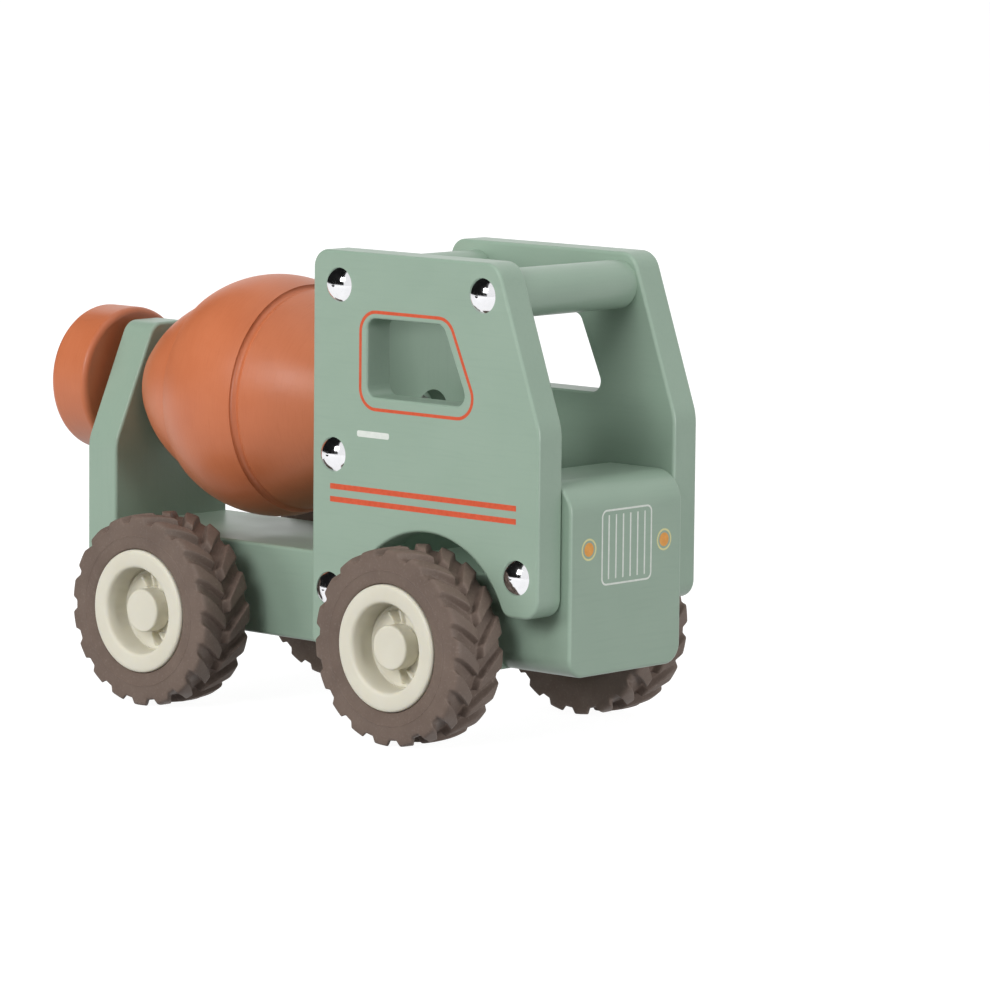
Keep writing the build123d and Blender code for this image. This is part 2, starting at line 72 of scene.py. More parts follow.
camera = bpy.data.objects.new("camera", bpy.data.cameras.new("camera"))
scene.collection.objects.link(camera)
scene.camera = camera
camera.data.sensor_width = SENSOR_WIDTH
camera.data.lens = CAMERA_LENS
camera.data.clip_start = 0.05
camera.data.clip_end = 30.0
camera.location = LOOKED_AT + towards(CAMERA_AZIMUTH, CAMERA_ELEVATION) * CAMERA_DISTANCE
aimed(camera, LOOKED_AT)
camera.rotation_quaternion = camera.rotation_quaternion @ Quaternion((0, 0, 1), math.radians(CAMERA_ROLL))


# ---------------------------------------------------------------- node materials
class Nodes:
    """A material's node tree with a principled shader, and short ways to add what every finish here uses."""

    def __init__(self, name):
        self.material = bpy.data.materials.new(name)
        self.material.use_nodes = True
        self.tree = self.material.node_tree
        self.shader = self.tree.nodes["Principled BSDF"]
        self.place = self.tree.nodes.new("ShaderNodeTexCoord").outputs["Object"]

    def add(self, kind, **settings):
        node = self.tree.nodes.new(kind)
        for key, value in settings.items():
            setattr(node, key, value)
        return node

    def link(self, output, socket):
        self.tree.links.new(output, socket)

    def noise(self, size, detail=3.0, stretch=(1, 1, 1), roughness=0.55):
        """Noise whose patches are about size metres across; stretch makes them longer along an axis."""
        mapping = self.add("ShaderNodeMapping")
        mapping.inputs["Scale"].default_value = [1 / s for s in stretch]
        self.link(self.place, mapping.inputs["Vector"])
        noise = self.add("ShaderNodeTexNoise")
        noise.inputs["Scale"].default_value = 1 / size
        noise.inputs["Detail"].default_value = detail
        noise.inputs["Roughness"].default_value = roughness
        self.link(mapping.outputs["Vector"], noise.inputs["Vector"])
        return noise.outputs["Fac"]

    def spread(self, value, low, high, from_low=0.3, from_high=0.7):
        """Map a value onto a range."""
        node = self.add("ShaderNodeMapRange")
        node.inputs["From Min"].default_value = from_low
        node.inputs["From Max"].default_value = from_high
        node.inputs["To Min"].default_value = low
        node.inputs["To Max"].default_value = high
        self.link(value, node.inputs["Value"])
        return node.outputs["Result"]

    def blend(self, factor, colour_a, colour_b):
        """Mix of two colours; each is a tuple or another node's colour."""
        node = self.add("ShaderNodeMix", data_type="RGBA")
        for socket, colour in ((node.inputs[6], colour_a), (node.inputs[7], colour_b)):
            if isinstance(colour, tuple):
                socket.default_value = (*colour, 1.0)
            else:
                self.link(colour, socket)
        self.link(factor, node.inputs[0])
        return node.outputs[2]

    def sum(self, first, second, share):
        """first + share * second."""
        node = self.add("ShaderNodeMath", operation="MULTIPLY_ADD")
        self.link(second, node.inputs[0])
        node.inputs[1].default_value = share
        self.link(first, node.inputs[2])
        return node.outputs[0]

    def finish(self, colour, roughness, height=None, relief=0.0, **sockets):
        """Feed the shader. relief is how many metres the height's range from 0 to 1 stands for."""
        self.link(colour, self.shader.inputs["Base Color"])
        self.link(roughness, self.shader.inputs["Roughness"])
        for name, value in sockets.items():
            self.shader.inputs[name].default_value = value
        if height is not None:
            bump = self.add("ShaderNodeBump")
            bump.inputs["Distance"].default_value = relief
            bump.inputs["Strength"].default_value = 1.0
            self.link(height, bump.inputs["Height"])
            self.link(bump.outputs["Normal"], self.shader.inputs["Normal"])
        return self.material


def sage_paint(name, grain):
    """Semi-gloss sage green paint on hardwood whose grain, along the stretch axis, shows faintly through."""
    m = Nodes(name)
    patches = m.noise(0.022, 4)
    pores = m.noise(0.0011, 2, grain)
    peel = m.noise(0.0009, 2)
    colour = m.blend(m.spread(patches, 0, 1), (0.262, 0.360, 0.282), (0.282, 0.378, 0.300))
    colour = m.blend(m.spread(pores, 0.0, 0.25, 0.5, 0.75), colour, (0.235, 0.325, 0.255))
    height = m.sum(peel, pores, 0.8)
    return m.finish(colour, m.spread(patches, 0.32, 0.42), height, 0.00002)


def terracotta_paint(name):
    """Glossier terracotta orange paint, brushed on while the wood turned."""
    m = Nodes(name)
    patches = m.noise(0.018, 4)
    turned = m.noise(0.0009, 3, (0.35, 6, 6))
    strokes = m.noise(0.0016, 3, (5, 1, 1))
    colour = m.blend(m.spread(patches, 0, 1), (0.500, 0.142, 0.056), (0.545, 0.168, 0.072))
    colour = m.blend(m.spread(turned, 0.0, 0.3, 0.5, 0.8), colour, (0.43, 0.112, 0.042))
    height = m.sum(turned, strokes, 0.7)
    return m.finish(colour, m.spread(patches, 0.34, 0.44), height, 0.00004)


def brown_rubber(name):
    """Matt brown rubber with a moulded skin, dust in its pores and faint flow marks."""
    m = Nodes(name)
    patches = m.noise(0.010, 4)
    skin = m.noise(0.0007, 4)
    flow = m.noise(0.004, 3, (1, 3, 1))
    colour = m.blend(m.spread(patches, 0, 1), (0.118, 0.084, 0.067), (0.148, 0.107, 0.085))
    colour = m.blend(m.spread(skin, 0.0, 0.5, 0.55, 0.75), colour, (0.215, 0.165, 0.138))
    height = m.sum(skin, flow, 1.2)
    return m.finish(colour, m.spread(flow, 0.58, 0.74), height, 0.00005)


def cream_plastic(name):
    """Satin moulded cream plastic, slightly translucent."""
    m = Nodes(name)
    patches = m.noise(0.012, 3)
    skin = m.noise(0.0006, 2)
    colour = m.blend(m.spread(patches, 0, 1), (0.635, 0.605, 0.500), (0.670, 0.642, 0.540))
    glow = {"Subsurface Weight": 0.15, "Subsurface Radius": (0.003, 0.0024, 0.0012), "Subsurface Scale": 1.0}
    return m.finish(colour, m.spread(skin, 0.34, 0.44), skin, 0.000008, **glow)


def white_nylon(name):
    """Washers and spacers of natural nylon."""
    m = Nodes(name)
    patches = m.noise(0.004, 3)
    colour = m.blend(m.spread(patches, 0, 1), (0.62, 0.60, 0.53), (0.70, 0.68, 0.61))
    return m.finish(colour, m.spread(patches, 0.42, 0.52), patches, 0.00001)


def bare_beech(name):
    """Sanded beech: fine dark flecks along the grain."""
    m = Nodes(name)
    bands = m.noise(0.0022, 4, (14, 1, 1))
    flecks = m.noise(0.0005, 2, (9, 1, 1))
    colour = m.blend(m.spread(bands, 0, 1), (0.56, 0.36, 0.19), (0.66, 0.46, 0.27))
    colour = m.blend(m.spread(flecks, 0.0, 0.6, 0.58, 0.72), colour, (0.36, 0.20, 0.10))
    return m.finish(colour, m.spread(bands, 0.55, 0.68), flecks, 0.00003)


def metal(name, colour_a, colour_b, rough_low, rough_high, grain, relief):
    """Bare metal with fine drawing or polishing lines."""
    m = Nodes(name)
    lines = m.noise(0.0006, 3, grain)
    haze = m.noise(0.0025, 4)
    colour = m.blend(m.spread(haze, 0, 1), colour_a, colour_b)
    return m.finish(colour, m.spread(haze, rough_low, rough_high, 0.35, 0.75), lines, relief, Metallic=1.0)


def ink(name, light, dark):
    """Silk-screened print: flat ink that covers slightly unevenly."""
    m = Nodes(name)
    cover = m.noise(0.0012, 3)
    colour = m.blend(m.spread(cover, 0, 1), light, dark)
    return m.finish(colour, m.spread(cover, 0.40, 0.52), cover, 0.000006)


ALONG_X, ALONG_Y, ALONG_Z, NO_GRAIN = (14, 1, 1), (1, 14, 1), (1, 1, 14), (1, 1, 1)
sage_lengthwise = sage_paint("sage_paint_lengthwise", ALONG_X)
sage_crosswise = sage_paint("sage_paint_crosswise", ALONG_Y)
sage_upright = sage_paint("sage_paint_upright", ALONG_Z)
terracotta = terracotta_paint("terracotta_paint")
rubber = brown_rubber("brown_rubber")
plastic = cream_plastic("cream_plastic")
nylon = white_nylon("white_nylon")
beech = bare_beech("bare_beech")
chrome = metal("polished_chrome", (0.80, 0.80, 0.82), (0.74, 0.74, 0.76), 0.08, 0.17, NO_GRAIN, 0.000004)
steel = metal("drawn_steel", (0.56, 0.55, 0.53), (0.48, 0.47, 0.46), 0.26, 0.40, ALONG_Y, 0.00001)
red_ink = ink("red_orange_ink", (0.62, 0.085, 0.028), (0.54, 0.070, 0.022))
white_ink = ink("off_white_ink", (0.72, 0.75, 0.70), (0.64, 0.68, 0.63))
yellow_ink = ink("pale_yellow_ink", (0.68, 0.65, 0.33), (0.60, 0.57, 0.28))
amber_ink = ink("amber_ink", (0.74, 0.33, 0.062), (0.66, 0.28, 0.050))

NODE_FINISHES = {
    "chassis_beam": sage_lengthwise,
    "hood_block": sage_crosswise,
    "hood_joining_pins": beech,
    "rear_plate": sage_upright,
    "rear_plate_screws": steel,
    "side_panel_right": sage_lengthwise,
    "side_panel_left": sage_lengthwise,
    "panel_screws_right": chrome,
    "panel_screws_left": chrome,
    "cab_rear_wall": sage_upright,
    "front_handle_dowel": sage_crosswise,
    "rear_top_dowel": sage_crosswise,
    "drum_barrel": terracotta,
    "drum_knob": terracotta,
    "drum_shaft": beech,
    "knob_spacer": nylon,
    "drum_rear_spacer": nylon,
    "drum_front_spacer": nylon,
    "shaft_retaining_washer": steel,
    "shaft_retaining_screw": steel,
    "front_axle": steel,
    "rear_axle": steel,
    "front_axle_washers": nylon,
    "rear_axle_washers": nylon,
}
for node, finish in NODE_FINISHES.items():
    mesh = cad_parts[node].data
    mesh.materials.clear()
    mesh.materials.append(finish)


# ---------------------------------------------------------------- mesh helpers
def piece(name, mesh_maker, material, body, subdivisions=0):
    """Make a mesh piece, give it its finish and let it ride on a CAD body."""
    maker = bmesh.new()
    mesh_maker(maker)
    bmesh.ops.recalc_face_normals(maker, faces=maker.faces)
    for face in maker.faces:
        face.smooth = subdivisions > 0
    mesh = bpy.data.meshes.new(name)
    maker.to_mesh(mesh)
    maker.free()
    mesh.materials.append(material)
    obj = bpy.data.objects.new(name, mesh)
    scene.collection.objects.link(obj)
    if subdivisions:
        rounder = obj.modifiers.new("subdivision", "SUBSURF")
        rounder.levels = rounder.render_levels = subdivisions
    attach(obj, body)
    return obj


def hoops(maker, loops, closed=True):
    """Faces between neighbouring closed loops of points; closed joins the last loop to the first."""
    made = [[maker.verts.new(point) for point in loop] for loop in loops]
    count = len(made)
    for i in range(count if closed else count - 1):
        here, there = made[i], made[(i + 1) % count]
        size = len(here)
        for k in range(size):
            following = (k + 1) % size
            maker.faces.new((here[k], here[following], there[following], there[k]))
    return made


class Wheel:
    """Places a wheel's points: radius from the axle, out from the tyre's middle plane away from the truck,
    and angle from straight down towards +X."""

    def __init__(self, axle, side_name):
        self.name = f"wheel_{axle}_{side_name}"
        self.body = f"{axle}_axle_set"
        self.side = 1 if side_name == "left" else -1
        tyre_low, tyre_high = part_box(f"{self.name}_tyre")
        self.centre = (tyre_low + tyre_high) / 2
        self.tyre_radius = (tyre_high.z - tyre_low.z) / 2
        self.half_width = (tyre_high.y - tyre_low.y) / 2
        rim_low, rim_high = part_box(f"{self.name}_rim")
        self.rim_face = abs((rim_high if self.side > 0 else rim_low).y - self.centre.y)

    def point(self, radius, out, angle):
        return (
            self.centre.x + radius * math.sin(angle),
            self.centre.y + self.side * out,
            self.centre.z - radius * math.cos(angle),
        )

    def circle(self, radius, out, count, start=0.0):
        return [self.point(radius, out, start + 2 * math.pi * k / count) for k in range(count)]

    def ring(self, radius, depth, count, start=0.0):
        """Circle by its radius and its depth behind the rim's face, both in millimetres."""
        return self.circle(radius * MM, self.rim_face - depth * MM, count, start)


# ---------------------------------------------------------------- tyres
LUG_COUNT = 18
COLUMNS = 18                      # mesh columns in each lug's pitch
GROOVE_COLUMNS = 8                # those of them that stand in the groove
CREST_COLUMN = 5                  # the one at the lug's middle
LUG_REACH = 7.6 * MM              # how far round the tread a lug runs from the middle to its shoulder
LUG_CURVE = 1.3                   # more than 1 bends the lug, so that it ends straighter across
LUG_FULL_SHARE = 0.8              # share of the half width at which a lug has its full width
LUG_HALF_MIDDLE, LUG_HALF_SHOULDER = 1.45 * MM, 2.35 * MM
LUG_FLANK_MIDDLE, LUG_FLANK_SHOULDER = 0.55 * MM, 0.95 * MM
LUG_FILLET, LUG_CREST, FLANK_BEND = 0.35 * MM, 0.30 * MM, 0.45
TREAD_TURN = {"front": 0.0, "rear": 5.2}      # degrees
# from the middle outwards: distance across, depth of the groove floor and of the lug's top below the tyre's
# radius, and share of the lug's height that stands
TREAD_ROWS = [
    (0.30, 2.40, 2.40, 0.0), (0.55, 2.40, 0.95, 1.0), (0.80, 2.40, 0.18, 1.0), (1.15, 2.40, 0.03, 1.0),
    (2.40, 2.35, 0.00, 1.0), (3.90, 2.25, 0.00, 1.0), (5.30, 2.05, 0.03, 1.0), (6.40, 1.85, 0.08, 1.0),
    (7.30, 1.80, 0.14, 1.0), (8.00, 1.85, 0.24, 1.0), (8.45, 1.95, 0.40, 1.0), (8.75, 2.10, 0.65, 1.0),
    (8.95, 2.40, 1.05, 1.0), (9.03, 2.80, 1.60, 1.0), (9.05, 3.35, 2.50, 1.0),
]
# sidewalls from the shoulder in to the rim: distance from the tyre's middle plane, and radius
OUTER_WALL = [
    (9.05, 22.60), (9.05, 21.05), (9.05, 20.98), (9.17, 20.88), (9.17, 20.78), (9.05, 20.68), (9.02, 20.30),
    (8.98, 19.30), (8.90, 18.30), (8.72, 17.55), (8.45, 17.22), (7.95, 17.16), (7.70, 17.10), (7.70, 15.60),
]
INNER_WALL = [
    (9.05, 22.60), (9.05, 20.50), (9.00, 19.30), (8.85, 18.20), (8.55, 17.10), (8.10, 16.20), (7.80, 15.60),
]


def lug_columns(half_lug, flank, pitch):
    """Where the mesh columns of one pitch stand, from the lug's middle on, and their share of its height."""
    foot = half_lug + flank
    bend = half_lug + FLANK_BEND * flank
    crest = half_lug - LUG_CREST
    up = [(-foot, 0.0), (-bend, 0.5), (-half_lug, 1.0), (-crest, 1.0), (-0.5 * half_lug, 1.0)]
    down = [(crest, 1.0), (half_lug, 1.0), (bend, 0.5), (foot, 0.0)]
    groove_start, groove_end = foot + LUG_FILLET, pitch - foot - LUG_FILLET
    length = groove_end - groove_start
    groove = [(groove_start + length * k / (GROOVE_COLUMNS - 1), 0.0) for k in range(GROOVE_COLUMNS)]
    return [*up, (0.0, 1.0), *down, *groove]


def tread_loop(wheel, row, outer, turn):
    """One loop of the tread, staggered by half a pitch on the inner half."""
    across, groove_drop, lug_drop, standing = row
    pitch = 2 * math.pi * wheel.tyre_radius / LUG_COUNT
    share = min(1.0, across * MM / wheel.half_width)
    widening = min(1.0, share / LUG_FULL_SHARE)
    half_lug = LUG_HALF_MIDDLE + (LUG_HALF_SHOULDER - LUG_HALF_MIDDLE) * widening
    flank = LUG_FLANK_MIDDLE + (LUG_FLANK_SHOULDER - LUG_FLANK_MIDDLE) * widening
    reach = LUG_REACH * (1 - (1 - share) ** LUG_CURVE)
    columns = lug_columns(half_lug, flank, pitch)
    half = COLUMNS // 2
    loop = []
    for lug in range(LUG_COUNT):
        for k in range(COLUMNS):
            if outer:
                place, height = columns[k]
            else:
                place, height = columns[(k - half) % COLUMNS]
                place += pitch / 2 if k >= half else -pitch / 2
            drop = groove_drop + (lug_drop - groove_drop) * height * standing
            angle = turn + (lug * pitch + place + reach) / wheel.tyre_radius
            out = across * MM if outer else -across * MM
            loop.append(wheel.point(wheel.tyre_radius - drop * MM, out, angle))
    return loop


def tyre_maker(wheel, turn):
    """Maker of a tyre: inner wall, inner tread, middle, outer tread and outer wall in one closed hoop."""
    def make(maker):
        pitch_angle = 2 * math.pi / LUG_COUNT
        count = LUG_COUNT * COLUMNS
        floor_radius = wheel.tyre_radius - TREAD_ROWS[0][1] * MM
        start = turn - CREST_COLUMN * pitch_angle / COLUMNS
        middle = wheel.circle(floor_radius, 0.0, count, start)
        wall_start = start + LUG_REACH / wheel.tyre_radius
        outer = [tread_loop(wheel, row, True, turn) for row in TREAD_ROWS]
        outer += [wheel.circle(r * MM, out * MM, count, wall_start) for out, r in OUTER_WALL]
        inner = [tread_loop(wheel, row, False, turn) for row in TREAD_ROWS]
        inner += [wheel.circle(r * MM, -out * MM, count, wall_start) for out, r in INNER_WALL]
        hoops(maker, [*reversed(inner), middle, *outer])
    return make


# ---------------------------------------------------------------- rims and hub caps
RIM_COLUMNS, SLOT_COUNT = 144, 4
SLOT_TILT = -17                   # degrees from the wheel's top to the middle of its first slot
SLOT_SWEEP = math.radians(9)      # how far the ribs bend between their two ends
SLOT_DEPTH, RIB_HEIGHT = 1.6, 1.1
SLOT_REACH, RIB_REACH = 3, 6      # mesh columns from a slot's middle to its edge and to its rib's outer edge
# radius and depth behind the rim's face, from the flange down the dish to the edge of its floor
RIM_FRONT = [
    (17.10, 1.75), (17.10, 0.95), (17.00, 0.55), (16.75, 0.25), (16.30, 0.08), (15.40, 0.00), (14.20, 0.02),
    (13.10, 0.06), (12.50, 0.20), (12.10, 0.60), (11.90, 1.30), (11.74, 3.00), (11.58, 5.00), (11.48, 6.50),
    (11.40, 7.10), (11.28, 7.30), (11.15, 7.25), (11.08, 6.98), (10.92, 6.86), (10.74, 6.92), (10.50, 7.18),
]
# radius and share of the slots' and ribs' relief on the dish floor
RIM_FLOOR = [
    (10.20, 0.0), (9.80, 0.9), (9.20, 1.0), (8.50, 1.0), (7.80, 1.0), (7.10, 1.0), (6.50, 1.0), (6.25, 0.0),
]
FLOOR_DEPTH = 7.3
# radius and depth: the hub's recess, bore and inner end, then the back of the dish and the tyre's seat
RIM_HUB = [
    (5.00, 7.30), (4.42, 7.20), (4.42, 5.0), (4.20, 4.74), (3.0, 4.72), (2.05, 4.80), (2.03, 6.0),
    (2.03, 22.9), (2.2, 23.08), (4.0, 23.1), (8.2, 23.1), (8.5, 22.8), (8.5, 20.4), (8.2, 20.1), (6.7, 20.1),
    (6.45, 19.6), (6.40, 12.4),
]
RIM_BACK = [
    (6.7, 11.7), (9.3, 11.7), (11.0, 11.7), (13.2, 11.75), (13.6, 12.1), (13.6, 17.4), (13.8, 17.75),
    (15.3, 17.75), (15.48, 17.4), (15.48, 2.2), (15.7, 1.82), (16.9, 1.80),
]


def floor_relief(column):
    """Height of the dish floor at a mesh column: sunk in a slot, raised on the ribs beside it."""
    pitch = RIM_COLUMNS // SLOT_COUNT
    from_slot = abs((column + pitch // 2) % pitch - pitch // 2)
    if from_slot <= SLOT_REACH:
        return -SLOT_DEPTH
    return RIB_HEIGHT if from_slot <= RIB_REACH else 0.0


def floor_loop(wheel, start, radius, share):
    """One loop of the dish floor, turned further the nearer it is to the hub."""
    sweep = wheel.side * SLOT_SWEEP * (RIM_FLOOR[0][0] - radius) / (RIM_FLOOR[0][0] - RIM_FLOOR[-1][0])
    loop = []
    for k in range(RIM_COLUMNS):
        depth = FLOOR_DEPTH - share * floor_relief(k)
        angle = start + sweep + 2 * math.pi * k / RIM_COLUMNS
        loop.append(wheel.point(radius * MM, wheel.rim_face - depth * MM, angle))
    return loop


def rim_maker(wheel):
    """Maker of a rim: flange, dish, ribbed floor, hub and back in one closed hoop."""
    def make(maker):
        start = math.radians(180 + wheel.side * SLOT_TILT)
        swept = start + wheel.side * SLOT_SWEEP
        loops = [wheel.ring(radius, depth, RIM_COLUMNS, start) for radius, depth in RIM_FRONT]
        loops += [floor_loop(wheel, start, radius, share) for radius, share in RIM_FLOOR]
        behind = RIM_HUB + RIM_BACK
        for k, (radius, depth) in enumerate(behind):
            angle = swept + (start - swept) * (k + 1) / (len(behind) + 1)    # back to the first loop's start
            loops.append(wheel.ring(radius, depth, RIM_COLUMNS, angle))
        hoops(maker, loops)
    return make


CAP_COLUMNS = 96
# radius and depth behind the rim's face, from the middle of the front to the middle of the back
CAP_PROFILE = [
    (0.0, 2.00), (3.0, 2.00), (5.20, 2.00), (5.60, 2.04), (5.86, 2.18), (6.02, 2.48), (6.05, 2.95),
    (6.05, 5.0), (6.05, 7.05), (5.95, 7.28), (4.60, 7.28), (4.46, 7.0), (4.46, 4.9), (4.40, 4.66),
    (3.0, 4.64), (0.0, 4.64),
]


def cap_maker(wheel):
    """Maker of a hub cap: rings, closed at both ends by a fan of faces."""
    def make(maker):
        loops = [wheel.ring(radius, depth, CAP_COLUMNS) for radius, depth in CAP_PROFILE[1:-1]]
        made = hoops(maker, loops, closed=False)
        for ring, depth in ((made[0], CAP_PROFILE[0][1]), (made[-1], CAP_PROFILE[-1][1])):
            middle = maker.verts.new(wheel.point(0.0, wheel.rim_face - depth * MM, 0.0))
            for k in range(len(ring)):
                maker.faces.new((ring[k], ring[(k + 1) % len(ring)], middle))
    return make


for axle in ("front", "rear"):
    for side_name in ("right", "left"):
        wheel = Wheel(axle, side_name)
        turn = math.radians(TREAD_TURN[axle])
        tyre = piece(f"{wheel.name}_moulded_tyre", tyre_maker(wheel, turn), rubber, wheel.body, 1)
        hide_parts(f"{wheel.name}_tyre")
        rim = piece(f"{wheel.name}_ribbed_rim", rim_maker(wheel), plastic, wheel.body, 1)
        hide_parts(f"{wheel.name}_rim")
        cap = piece(f"{wheel.name}_rounded_cap", cap_maker(wheel), plastic, wheel.body, 1)
        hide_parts(f"{wheel.name}_hub_cap")


# ---------------------------------------------------------------- printed graphics
INK_THICKNESS = 0.03 * MM


def rounded(corners, radius, steps=10):
    """Outline of a convex polygon, given anticlockwise, with its corners rounded by arcs."""
    outline = []
    for i, corner in enumerate(corners):
        corner = Vector(corner)
        before = (Vector(corners[i - 1]) - corner).normalized()
        after = (Vector(corners[(i + 1) % len(corners)]) - corner).normalized()
        half = before.angle(after) / 2
        centre = corner + (before + after).normalized() * (radius / math.sin(half))
        start = corner + before * (radius / math.tan(half)) - centre
        end = corner + after * (radius / math.tan(half)) - centre
        turn = start.angle_signed(end)
        for k in range(steps + 1):
            a = -turn * k / steps
            outline.append(centre + Vector((
                start.x * math.cos(a) - start.y * math.sin(a),
                start.x * math.sin(a) + start.y * math.cos(a),
            )))
    return outline


def inset(corners, distance):
    """A convex polygon, given anticlockwise, with every side moved in by a distance."""
    moved = []
    for i, corner in enumerate(corners):
        corner = Vector(corner)
        before = (Vector(corners[i - 1]) - corner).normalized()
        after = (Vector(corners[(i + 1) % len(corners)]) - corner).normalized()
        half = before.angle(after) / 2
        moved.append(corner + (before + after).normalized() * (distance / math.sin(half)))
    return moved


def circle_outline(centre, radius, steps=48):
    turns = [2 * math.pi * k / steps for k in range(steps)]
    return [Vector((centre[0] + radius * math.cos(a), centre[1] + radius * math.sin(a))) for a in turns]


def filled(outline, lift):
    """Maker of a thin closed plate; lift(point, height) places the outline's points on the painted face."""
    def make(maker):
        low = [maker.verts.new(lift(p, -INK_THICKNESS)) for p in outline]
        high = [maker.verts.new(lift(p, INK_THICKNESS)) for p in outline]
        maker.faces.new(high)
        maker.faces.new(list(reversed(low)))
        for k in range(len(outline)):
            following = (k + 1) % len(outline)
            maker.faces.new((low[k], low[following], high[following], high[k]))
    return make


def lined(outer, inner, lift):
    """Maker of a thin closed ring between two outlines with the same number of points."""
    def make(maker):
        loops = [[lift(p, height) for p in outline] for outline, height in (
            (outer, -INK_THICKNESS), (outer, INK_THICKNESS), (inner, INK_THICKNESS), (inner, -INK_THICKNESS))]
        hoops(maker, loops)
    return make


def together(makers):
    """Maker of one mesh out of several makers."""
    def make(maker):
        for maker_part in makers:
            maker_part(maker)
    return make


def bar(x0, z0, x1, z1):
    """Corners of an upright rectangle, anticlockwise."""
    return [(x0, z0), (x1, z0), (x1, z1), (x0, z1)]


def side_lift(side):
    """Places graphics on a side panel's outer face, x along the truck and z up."""
    low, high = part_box("side_panel_left" if side > 0 else "side_panel_right")
    face = high.y if side > 0 else low.y
    return lambda p, height: (p.x, face + side * height, p.y)


# on the side panels, measured from the panel's rear end and foot
STRIPE_REAR_GAP, STRIPE_FRONT_GAP = 6.8 * MM, 7.8 * MM      # from the panel's two ends
STRIPE_FEET, STRIPE_HEIGHT, STRIPE_CORNER = (41.1 * MM, 44.6 * MM), 1.5 * MM, 0.12 * MM
RING_REAR, RING_FRONT, RING_FOOT, RING_TOP = 17.3 * MM, 62.2 * MM, 66.9 * MM, 94.0 * MM
RING_LEAN = 0.443                 # how far the line's front side leans back for each metre it rises
RING_LINE, RING_CORNER = 0.9 * MM, 6.0 * MM
DASH_REAR, DASH_FRONT, DASH_FOOT, DASH_TOP = 16.7 * MM, 28.5 * MM, 59.6 * MM, 61.3 * MM
DASH_CORNER = 0.6 * MM

panel_low, panel_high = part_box("side_panel_right")
stripe_rear, stripe_front = panel_low.x + STRIPE_REAR_GAP, panel_high.x - STRIPE_FRONT_GAP
ring_rear, ring_front = panel_low.x + RING_REAR, panel_low.x + RING_FRONT
ring_foot, ring_top = panel_low.z + RING_FOOT, panel_low.z + RING_TOP
ring_corners = [
    (ring_rear, ring_foot), (ring_front, ring_foot),
    (ring_front - RING_LEAN * (ring_top - ring_foot), ring_top), (ring_rear, ring_top),
]
dash_rear, dash_front = panel_low.x + DASH_REAR, panel_low.x + DASH_FRONT
door_dash = bar(dash_rear, panel_low.z + DASH_FOOT, dash_front, panel_low.z + DASH_TOP)

for side, side_name in ((-1, "right"), (1, "left")):
    lift = side_lift(side)
    for k, foot in enumerate(STRIPE_FEET):
        z = panel_low.z + foot
        stripe = rounded(bar(stripe_rear, z, stripe_front, z + STRIPE_HEIGHT), STRIPE_CORNER, 3)
        piece(f"stripe_{k + 1}_{side_name}", filled(stripe, lift), red_ink, "frame")
    outer = rounded(ring_corners, RING_CORNER)
    inner = rounded(inset(ring_corners, RING_LINE), RING_CORNER - RING_LINE)
    piece(f"window_line_{side_name}", lined(outer, inner, lift), red_ink, "frame")
    dash = rounded(door_dash, DASH_CORNER, 6)
    piece(f"door_handle_print_{side_name}", filled(dash, lift), white_ink, "frame")

# on the hood, measured from its foot and middle
GRILLE_FOOT, GRILLE_TOP, GRILLE_HALF = 23.8 * MM, 44.0 * MM, 10.15 * MM
GRILLE_LINE, GRILLE_CORNER = 0.5 * MM, 2.0 * MM
GRILLE_BARS, BAR_STEP, BAR_CORNER = 6, 2.9 * MM, 0.15 * MM
BAR_FOOT_GAP, BAR_TOP_GAP = 1.6 * MM, 1.5 * MM
LAMP_HEIGHT, LAMP_Y = 34.0 * MM, 15.2 * MM
LAMP_RING, LAMP_LINE, LAMP_DOT = 2.95 * MM, 0.5 * MM, 1.85 * MM

hood_low, hood_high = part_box("hood_block")


def front_lift(p, height):
    """Places graphics on the hood's front face, y across the truck and z up."""
    return (hood_high.x + height, p.x, p.y)


grille_foot, grille_top = hood_low.z + GRILLE_FOOT, hood_low.z + GRILLE_TOP
grille = bar(-GRILLE_HALF, grille_foot, GRILLE_HALF, grille_top)
outer = rounded(grille, GRILLE_CORNER)
inner = rounded(inset(grille, GRILLE_LINE), GRILLE_CORNER - GRILLE_LINE)
grille_parts = [lined(outer, inner, front_lift)]
for k in range(GRILLE_BARS):
    y = (k - (GRILLE_BARS - 1) / 2) * BAR_STEP
    thin = bar(y - GRILLE_LINE / 2, grille_foot + BAR_FOOT_GAP, y + GRILLE_LINE / 2, grille_top - BAR_TOP_GAP)
    grille_parts.append(filled(rounded(thin, BAR_CORNER, 3), front_lift))
piece("grille_print", together(grille_parts), white_ink, "frame")

for side, side_name in ((-1, "right"), (1, "left")):
    centre = (side * LAMP_Y, hood_low.z + LAMP_HEIGHT)
    outer, inner = circle_outline(centre, LAMP_RING), circle_outline(centre, LAMP_RING - LAMP_LINE)
    piece(f"lamp_ring_print_{side_name}", lined(outer, inner, front_lift), yellow_ink, "frame")
    dot = filled(circle_outline(centre, LAMP_DOT), front_lift)
    piece(f"lamp_print_{side_name}", dot, amber_ink, "frame")


# ---------------------------------------------------------------- floor, backdrop and lights
def stage_piece(name, mesh_maker, material):
    """Make a mesh that belongs to the studio, not to the truck."""
    maker = bmesh.new()
    mesh_maker(maker)
    mesh = bpy.data.meshes.new(name)
    maker.to_mesh(mesh)
    maker.free()
    mesh.materials.append(material)
    obj = bpy.data.objects.new(name, mesh)
    scene.collection.objects.link(obj)
    return obj


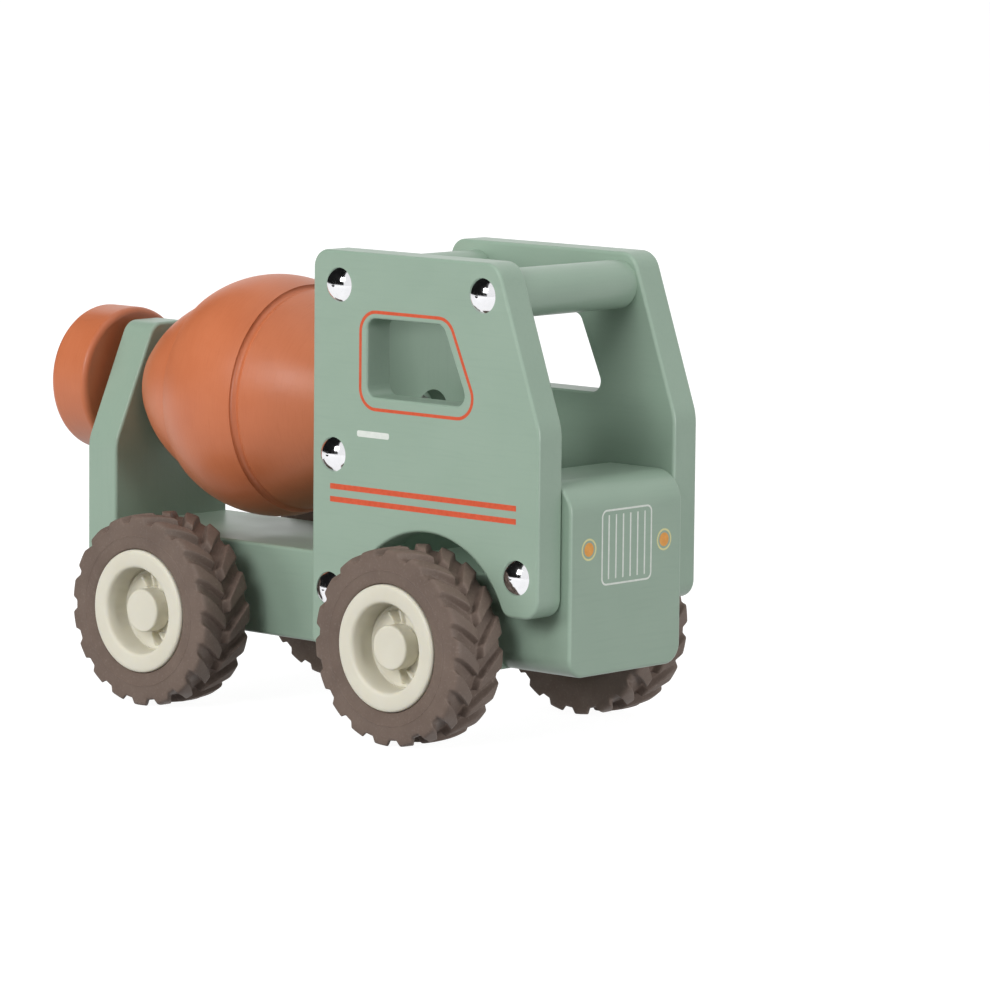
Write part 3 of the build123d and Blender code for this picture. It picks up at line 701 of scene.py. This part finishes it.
def stage_material(name, albedo, glow):
    """Plain matt surface that can also glow evenly, like a lit sweep."""
    m = Nodes(name)
    m.shader.inputs["Base Color"].default_value = (albedo, albedo, albedo, 1)
    m.shader.inputs["Roughness"].default_value = 0.9
    m.shader.inputs["Specular IOR Level"].default_value = 0.1
    m.shader.inputs["Emission Color"].default_value = (1, 1, 1, 1)
    m.shader.inputs["Emission Strength"].default_value = glow
    return m.material


STAGE_RADIUS = 6.0
BOUNCE_DROP = 0.2 * MM            # the unseen floor lies this far below the seen one


def disc(maker):
    bmesh.ops.create_circle(maker, cap_ends=True, segments=96, radius=STAGE_RADIUS)


floor = stage_piece("floor", disc, stage_material("pale_floor", 0.22, 0.95))
floor.visible_diffuse = False
floor_bounce = stage_piece("floor_bounce", disc, stage_material("floor_bounce", 0.50, 0.0))
floor_bounce.location.z = -BOUNCE_DROP
floor_bounce.visible_camera = False
floor_bounce.visible_glossy = False
backdrop = stage_piece(
    "backdrop",
    lambda maker: bmesh.ops.create_uvsphere(maker, u_segments=48, v_segments=24, radius=STAGE_RADIUS),
    stage_material("pale_backdrop", 0.0, 1.05),
)
backdrop.visible_diffuse = False
backdrop.visible_shadow = False

world = bpy.data.worlds.new("studio")
scene.world = world
world.use_nodes = True
background = world.node_tree.nodes["Background"]
background.inputs["Color"].default_value = (0.96, 0.98, 1.0, 1)
background.inputs["Strength"].default_value = 0.12


def softbox(name, azimuth, elevation, distance, size, watts):
    """White rectangular light that points at the truck."""
    light = bpy.data.lights.new(name, "AREA")
    light.shape = "RECTANGLE"
    light.size, light.size_y = size
    light.energy = watts
    obj = bpy.data.objects.new(name, light)
    scene.collection.objects.link(obj)
    obj.location = LOOKED_AT + towards(azimuth, elevation) * distance
    aimed(obj, LOOKED_AT)
    return obj


softbox("sheen_softbox", 9, 28, 1.4, (0.5, 0.5), 6.5)
softbox("fill_softbox", 88, 6, 1.8, (0.9, 0.4), 17.0)
unreflected = [
    softbox("key_softbox", -6, 20, 1.4, (0.55, 0.55), 5.8),
    softbox("top_softbox", 20, 86, 1.5, (1.2, 1.2), 9.5),
    softbox("rear_softbox", -38, 8, 1.8, (0.9, 0.5), 11.5),
    softbox("back_softbox", 205, 25, 2.0, (1.0, 1.0), 7.0),
]
for light in unreflected:
    light.visible_glossy = False


# the dark flag's reach in degrees of azimuth and elevation, and how many faces it has each way
FLAG_FROM, FLAG_TO, FLAG_FOOT, FLAG_TOP = -118, 20, 1.0, 88
FLAG_STEPS_ROUND, FLAG_STEPS_UP = 24, 10
FLAG_DISTANCE = 3.0


def dark_patch(maker):
    """Part of a sphere: the unlit side of the studio, seen only in reflections."""
    azimuths = [FLAG_FROM + (FLAG_TO - FLAG_FROM) * k / FLAG_STEPS_ROUND for k in range(FLAG_STEPS_ROUND + 1)]
    elevations = [FLAG_FOOT + (FLAG_TOP - FLAG_FOOT) * k / FLAG_STEPS_UP for k in range(FLAG_STEPS_UP + 1)]
    rows = [[maker.verts.new(towards(a, e) * FLAG_DISTANCE) for a in azimuths] for e in elevations]
    for low, high in zip(rows, rows[1:]):
        for k in range(len(low) - 1):
            maker.faces.new((low[k], low[k + 1], high[k + 1], high[k]))


flag = stage_piece("dark_flag", dark_patch, stage_material("black_cloth", 0.02, 0.0))
flag.visible_camera = False
flag.visible_diffuse = False
flag.visible_shadow = False
flag.visible_transmission = False
